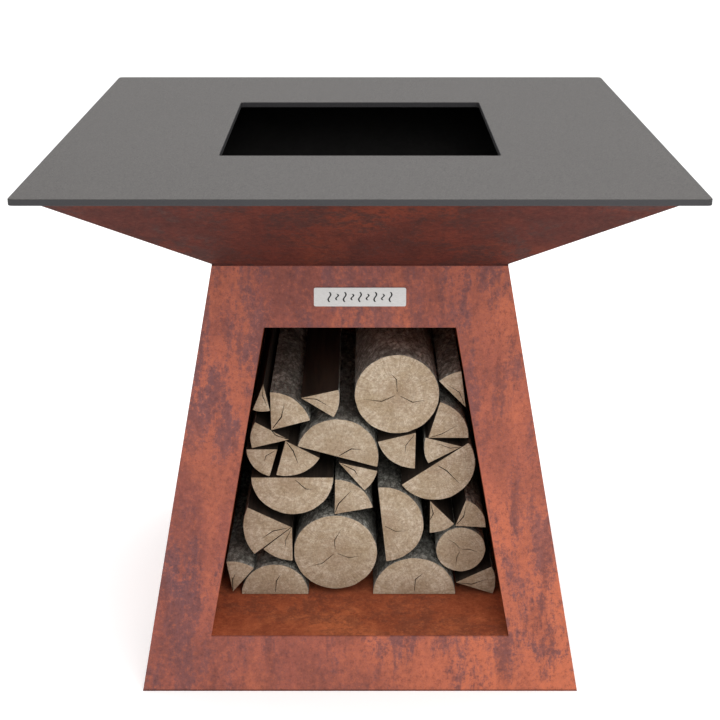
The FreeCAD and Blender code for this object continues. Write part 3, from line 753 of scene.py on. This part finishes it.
class FireTableColours(bpy.types.PropertyGroup):
    """Colours of the surfaces."""

    front_dark: bpy.props.FloatVectorProperty(
        name="Front dark rust", description="Darkest rust of the stand's panels",
        default=linear(112, 66, 60), size=3, min=0.0, max=1.0, subtype="COLOR")
    front_rust: bpy.props.FloatVectorProperty(
        name="Front rust", description="Main rust of the stand's panels",
        default=linear(154, 86, 73), size=3, min=0.0, max=1.0, subtype="COLOR")
    # This colour is both the fresh rust patches and the painted light that brightens one side of the panels.
    front_bright_rust_and_light: bpy.props.FloatVectorProperty(
        name="Front bright rust", description="Fresh orange rust of the stand's panels",
        default=linear(204, 113, 78), size=3, min=0.0, max=1.0, subtype="COLOR")
    front_scale: bpy.props.FloatVectorProperty(
        name="Front scale", description="Grey-purple scale on the stand's panels",
        default=linear(86, 66, 74), size=3, min=0.0, max=1.0, subtype="COLOR")
    side_dark: bpy.props.FloatVectorProperty(
        name="Trim dark rust", description="Darkest rust of the bars, ledges and top sheet",
        default=linear(126, 68, 56), size=3, min=0.0, max=1.0, subtype="COLOR")
    side_rust: bpy.props.FloatVectorProperty(
        name="Trim rust", description="Main rust of the bars, ledges and top sheet",
        default=linear(164, 84, 62), size=3, min=0.0, max=1.0, subtype="COLOR")
    side_bright: bpy.props.FloatVectorProperty(
        name="Trim bright rust", description="Fresh rust of the bars, ledges and top sheet",
        default=linear(198, 110, 70), size=3, min=0.0, max=1.0, subtype="COLOR")
    side_scale: bpy.props.FloatVectorProperty(
        name="Trim scale", description="Scale on the bars, ledges and top sheet",
        default=linear(96, 72, 76), size=3, min=0.0, max=1.0, subtype="COLOR")
    # Painted shade: the bowl's rust colours are darkened to stand for the shade under the cooking plate's
    # overhang.
    shaded_bowl_dark: bpy.props.FloatVectorProperty(
        name="Bowl dark rust", description="Darkest rust of the fire bowl",
        default=linear(58, 22, 16), size=3, min=0.0, max=1.0, subtype="COLOR")
    shaded_bowl_rust: bpy.props.FloatVectorProperty(
        name="Bowl rust", description="Main rust of the fire bowl",
        default=linear(92, 36, 25), size=3, min=0.0, max=1.0, subtype="COLOR")
    shaded_bowl_bright: bpy.props.FloatVectorProperty(
        name="Bowl bright rust", description="Fresh rust of the fire bowl",
        default=linear(116, 50, 28), size=3, min=0.0, max=1.0, subtype="COLOR")
    shaded_bowl_scale: bpy.props.FloatVectorProperty(
        name="Bowl scale", description="Dark scale on the fire bowl",
        default=linear(48, 30, 28), size=3, min=0.0, max=1.0, subtype="COLOR")
    store_dark: bpy.props.FloatVectorProperty(
        name="Store dark rust", description="Darkest rust inside the wood store",
        default=linear(140, 70, 46), size=3, min=0.0, max=1.0, subtype="COLOR")
    store_rust: bpy.props.FloatVectorProperty(
        name="Store rust", description="Main rust inside the wood store",
        default=linear(194, 104, 66), size=3, min=0.0, max=1.0, subtype="COLOR")
    store_bright: bpy.props.FloatVectorProperty(
        name="Store bright rust", description="Fresh rust inside the wood store",
        default=linear(228, 134, 84), size=3, min=0.0, max=1.0, subtype="COLOR")
    store_scale: bpy.props.FloatVectorProperty(
        name="Store scale", description="Dark scale inside the wood store",
        default=linear(92, 60, 52), size=3, min=0.0, max=1.0, subtype="COLOR")
    plate: bpy.props.FloatVectorProperty(
        name="Plate", description="Lighter tone of the cooking plate",
        default=linear(79, 76, 74), size=3, min=0.0, max=1.0, subtype="COLOR")
    badge: bpy.props.FloatVectorProperty(
        name="Badge", description="Bare steel of the badge",
        default=linear(198, 196, 194), size=3, min=0.0, max=1.0, subtype="COLOR")
    badge_ink: bpy.props.FloatVectorProperty(
        name="Badge ink", description="Dark fill of the badge's heat waves",
        default=linear(34, 34, 35), size=3, min=0.0, max=1.0, subtype="COLOR")
    bolts: bpy.props.FloatVectorProperty(
        name="Fasteners", description="Zinc of bolts, washers and nuts",
        default=linear(150, 148, 146), size=3, min=0.0, max=1.0, subtype="COLOR")
    grate: bpy.props.FloatVectorProperty(
        name="Grate", description="Scorched black of the fire grate",
        default=linear(26, 25, 25), size=3, min=0.0, max=1.0, subtype="COLOR")
    end_dark: bpy.props.FloatVectorProperty(
        name="Log end, dark", description="Darker wood of the sawn log ends",
        default=linear(166, 146, 118), size=3, min=0.0, max=1.0, subtype="COLOR")
    end_pale: bpy.props.FloatVectorProperty(
        name="Log end, pale", description="Paler wood of the sawn log ends",
        default=linear(208, 193, 172), size=3, min=0.0, max=1.0, subtype="COLOR")
    # Painted shade: this dark brown stands for the shade in the gaps between the logs.
    shaded_split_face: bpy.props.FloatVectorProperty(
        name="Split face", description="Weathered split faces of the logs",
        default=linear(58, 47, 38), size=3, min=0.0, max=1.0, subtype="COLOR")
    bark_dark: bpy.props.FloatVectorProperty(
        name="Bark, dark", description="Darker bark",
        default=linear(132, 130, 122), size=3, min=0.0, max=1.0, subtype="COLOR")
    bark_pale: bpy.props.FloatVectorProperty(
        name="Bark, pale", description="Paler bark",
        default=linear(186, 184, 174), size=3, min=0.0, max=1.0, subtype="COLOR")


# ---- stage -----------------------------------------------------------------------------------------------

# Each lamp's name, place, target, side in metres and power in watts.
LAMPS = (
    ("key", (0.9, -3.0, 3.6), (0, 0, 0.45), 3.0, 52),
    ("front_fill", (1.8, -3.6, 1.2), (0, 0, 0.4), 2.6, 18),
    ("top", (0.3, 0.8, 3.6), (0, 0, 0.9), 3.0, 50),
)
CAMERA_PLACE = (0.0, -2.430, 1.408)
CAMERA_DIP = 21.145  # degrees below level
CAMERA_LENS = 70.15  # millimetres
CAMERA_SENSOR = 36  # millimetres


# ---- operators -------------------------------------------------------------------------------------------


class FIRETABLE_OT_stand(bpy.types.Operator):
    """Build the stand's skin with its feet, its wood store and its top plate"""

    bl_idname = "firetable.stand"
    bl_label = "Stand"

    def execute(self, context):
        sizes = context.scene.fire_table_sizes
        panels = ["front_panel", "back_panel", "left_panel", "right_panel"]
        skin = welded(panels)
        ease(skin, sizes.sheet_edge)
        hand_over(skin, "stand_skin", STAND, panels, ["front_rust"])
        for node in ("foot_bars", "floor_ledges", "stand_top_plate"):
            item = copy_node(node)
            ease(item, sizes.small_edge, 2)
            hand_over(item, f"{node}_finished", STAND, [node], ["side_rust"])
        for node in ("store_floor", "store_left_wall", "store_right_wall", "store_ceiling"):
            item = copy_node(node)
            ease(item, sizes.small_edge / 2, 2)
            hand_over(item, f"{node}_finished", STAND, [node], ["store_rust"])
        return {"FINISHED"}


class FIRETABLE_OT_bowl(bpy.types.Operator):
    """Build the flared fire bowl, sooty inside, with its floor and rim"""

    bl_idname = "firetable.bowl"
    bl_label = "Bowl"

    def execute(self, context):
        sizes = context.scene.fire_table_sizes
        walls = ["bowl_front_wall", "bowl_back_wall", "bowl_left_wall", "bowl_right_wall"]
        skin = welded(walls)
        ease(skin, sizes.sheet_edge)
        hand_over(skin, "bowl_skin", STAND, walls, ["shaded_bowl_rust"])
        for node in ("bowl_floor", "bowl_rim"):
            item = copy_node(node)
            ease(item, sizes.small_edge, 2)
            hand_over(item, f"{node}_finished", STAND, [node], ["shaded_bowl_rust"])
        return {"FINISHED"}


class FIRETABLE_OT_fasteners(bpy.types.Operator):
    """Build the bolts, washers and nuts that hold the bowl to the stand"""

    bl_idname = "firetable.fasteners"
    bl_label = "Fasteners"

    def execute(self, context):
        sizes = context.scene.fire_table_sizes
        for node in ("bowl_bolts", "bolt_washers", "bolt_nuts"):
            item = copy_node(node)
            ease(item, sizes.small_edge, 2, 35)
            hand_over(item, f"{node}_finished", STAND, [node], ["bolt_steel"])
        return {"FINISHED"}


class FIRETABLE_OT_badge(bpy.types.Operator):
    """Build the badge with its row of plain heat waves"""

    bl_idname = "firetable.badge"
    bl_label = "Badge"

    def execute(self, context):
        sizes = context.scene.fire_table_sizes
        item = copy_node("badge_plate")
        ease(item, sizes.small_edge / 2, 3)
        hand_over(item, "badge_finished", STAND, ["badge_plate"], ["badge_steel"])
        low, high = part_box("badge_plate")
        skin_low, skin_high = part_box("front_panel")
        lean = math.atan2(skin_high.y - skin_low.y, skin_high.z - skin_low.z)
        tilt = Matrix.Rotation(-lean, 4, "X") if lean > 0 else Matrix.Identity(4)
        middle = Vector((0, (low.y + high.y) / 2, (low.z + high.z) / 2))
        strokes = []
        for number in range(-4, 5):
            strokes.append(self.wave(number * 0.0125, 0.0052 if number % 2 else 0.0082))
        emblem = join(strokes)
        front = -(high.z - low.z) / 2 * math.sin(lean)
        thick = (high.y - low.y) + 2 * front
        emblem.data.transform(Matrix.Translation(middle) @ tilt @ Matrix.Translation((0, -thick / 2, 0)))
        hand_over(emblem, "badge_emblem", STAND, [], ["badge_ink"])
        return {"FINISHED"}

    def wave(self, x, half):
        """One upright heat wave: a thin bar with a gentle S in it."""
        deselect()
        bpy.ops.mesh.primitive_cube_add(size=1, location=(0, 0, 0))
        bar = bpy.context.object
        edit(bar)
        bpy.ops.mesh.select_all(action="SELECT")
        bpy.ops.transform.resize(value=(0.0026, 0.0003, 2 * half))
        for step in range(1, 10):
            slice_off(bar, (0, 0, half * (step / 5 - 1)), (0, 0, 1))
        close()
        for vertex in bar.data.vertices:
            vertex.co.x += x + 0.0021 * math.sin(vertex.co.z / half * math.pi)
        return bar


class FIRETABLE_OT_plate(bpy.types.Operator):
    """Build the cooking plate and the lugs under it"""

    bl_idname = "firetable.plate"
    bl_label = "Cooking plate"

    def execute(self, context):
        sizes = context.scene.fire_table_sizes
        for node, edge in (("cooking_plate", sizes.plate_edge), ("locating_lugs", sizes.small_edge)):
            item = copy_node(node)
            ease(item, edge)
            hand_over(item, f"{node}_finished", PLATE, [node], ["plate_steel"])
        return {"FINISHED"}


class FIRETABLE_OT_grate(bpy.types.Operator):
    """Build the fire grate: frame, legs, handles and welded rods"""

    bl_idname = "firetable.grate"
    bl_label = "Fire grate"

    def execute(self, context):
        sizes = context.scene.fire_table_sizes
        for node in ("grate_frame", "grate_legs", "grate_handles"):
            item = copy_node(node)
            ease(item, sizes.small_edge, 2, 40)
            hand_over(item, f"{node}_finished", GRATE, [node], ["grate_steel"])
        low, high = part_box("grate_rods")
        radius = (high.z - low.z) / 2
        pitch, middle = self.pitch(low, high, radius), (low.z + high.z) / 2
        rod = cylinder(radius, (low.x + radius, low.y, middle), (low.x + radius, high.y, middle), 32)
        ease(rod, sizes.small_edge / 2, 2)
        beads = []
        for y in (low.y, high.y):
            deselect()
            inset = sizes.weld_bead * (1 if y == low.y else -1)
            bpy.ops.mesh.primitive_torus_add(
                major_segments=28, minor_segments=8, major_radius=radius, minor_radius=sizes.weld_bead,
                location=(low.x + radius, y + inset * 0.9, middle), rotation=(math.pi / 2, 0, 0),
            )
            bead = bpy.context.object
            settle(bead)
            soften(bead, 60)
            beads.append(bead)
        rod = join([rod] + beads)
        rods = [rod]
        for number in range(1, round((high.x - low.x - 2 * radius) / pitch) + 1):
            other = rod.copy()
            other.data = rod.data.copy()
            bpy.context.scene.collection.objects.link(other)
            edit(other)
            bpy.ops.mesh.select_all(action="SELECT")
            bpy.ops.transform.translate(value=(number * pitch, 0, 0))
            close()
            rods.append(other)
        hand_over(join(rods), "grate_rods_finished", GRATE, ["grate_rods"], ["grate_steel"])
        return {"FINISHED"}

    def pitch(self, low, high, radius):
        """Middle to middle of the rods, from how many of them there are."""
        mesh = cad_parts["grate_rods"].data
        middles = sorted({round(vertex.co.x, 3) for vertex in mesh.vertices})
        gaps = [b - a for a, b in zip(middles, middles[1:]) if b - a > radius]
        return (high.x - low.x - 2 * radius) / len(gaps)


class FIRETABLE_OT_firewood(bpy.types.Operator):
    """Build every log of the firewood"""

    bl_idname = "firetable.firewood"
    bl_label = "Firewood"

    def execute(self, context):
        for node in LOGS:
            make_log(node, context.scene.fire_table_sizes)
        return {"FINISHED"}


class FIRETABLE_OT_stage(bpy.types.Operator):
    """Set up the pale floor, the soft studio light and the camera"""

    bl_idname = "firetable.stage"
    bl_label = "Stage"

    def execute(self, context):
        deselect()
        bpy.ops.mesh.primitive_plane_add(size=60, location=(0, 0, -0.0005))
        floor = bpy.context.object
        floor.name = "stage_floor"
        floor.data.materials.append(material("studio_white"))
        world = bpy.data.worlds.new("studio")
        world.use_nodes = True
        background = world.node_tree.nodes["Background"]
        background.inputs["Color"].default_value = (1, 1, 1, 1)
        background.inputs["Strength"].default_value = 0.85
        context.scene.world = world
        for name, place, target, size, power in LAMPS:
            self.lamp(name, place, target, size, power)
        camera = bpy.data.cameras.new("camera")
        camera.lens, camera.sensor_width = CAMERA_LENS, CAMERA_SENSOR
        camera.clip_start = 0.05
        holder = bpy.data.objects.new("camera", camera)
        holder.location = CAMERA_PLACE
        holder.rotation_euler = (math.radians(90 - CAMERA_DIP), 0, 0)
        context.scene.collection.objects.link(holder)
        context.scene.camera = holder
        context.scene.view_settings.view_transform = "Standard"
        return {"FINISHED"}

    def lamp(self, name, place, target, size, power):
        """One square soft box that faces a point."""
        light = bpy.data.lights.new(name, "AREA")
        light.energy, light.size = power, size
        holder = bpy.data.objects.new(name, light)
        holder.location = place
        holder.rotation_euler = (Vector(target) - Vector(place)).to_track_quat("-Z", "Y").to_euler()
        bpy.context.scene.collection.objects.link(holder)


OPERATORS = (
    FIRETABLE_OT_stand, FIRETABLE_OT_bowl, FIRETABLE_OT_fasteners, FIRETABLE_OT_badge, FIRETABLE_OT_plate,
    FIRETABLE_OT_grate, FIRETABLE_OT_firewood, FIRETABLE_OT_stage,
)


class FIRETABLE_PT_sidebar(bpy.types.Panel):
    """Buttons for each piece, and the sizes of their details"""

    bl_idname = "FIRETABLE_PT_sidebar"
    bl_label = "Fire Table"
    bl_space_type = "VIEW_3D"
    bl_region_type = "UI"
    bl_category = "Fire Table"

    def draw(self, context):
        for group in (context.scene.fire_table_sizes, context.scene.fire_table_colours):
            for name in group.bl_rna.properties.keys():
                if name not in ("rna_type", "name"):
                    self.layout.prop(group, name)
        for operator in OPERATORS:
            self.layout.operator(operator.bl_idname)


CLASSES = (FireTableSizes, FireTableColours, *OPERATORS, FIRETABLE_PT_sidebar)


def register():
    """Add the classes and the settings."""
    for item in CLASSES:
        bpy.utils.register_class(item)
    bpy.types.Scene.fire_table_sizes = bpy.props.PointerProperty(type=FireTableSizes)
    bpy.types.Scene.fire_table_colours = bpy.props.PointerProperty(type=FireTableColours)


def unregister():
    """Take the settings and the classes away."""
    del bpy.types.Scene.fire_table_colours
    del bpy.types.Scene.fire_table_sizes
    for item in reversed(CLASSES):
        bpy.utils.unregister_class(item)


def main():
    """Build everything in order."""
    register()
    bpy.ops.firetable.stand()
    bpy.ops.firetable.bowl()
    bpy.ops.firetable.fasteners()
    bpy.ops.firetable.badge()
    bpy.ops.firetable.plate()
    bpy.ops.firetable.grate()
    bpy.ops.firetable.firewood()
    bpy.ops.firetable.stage()


if __name__ == "__main__":
    main()
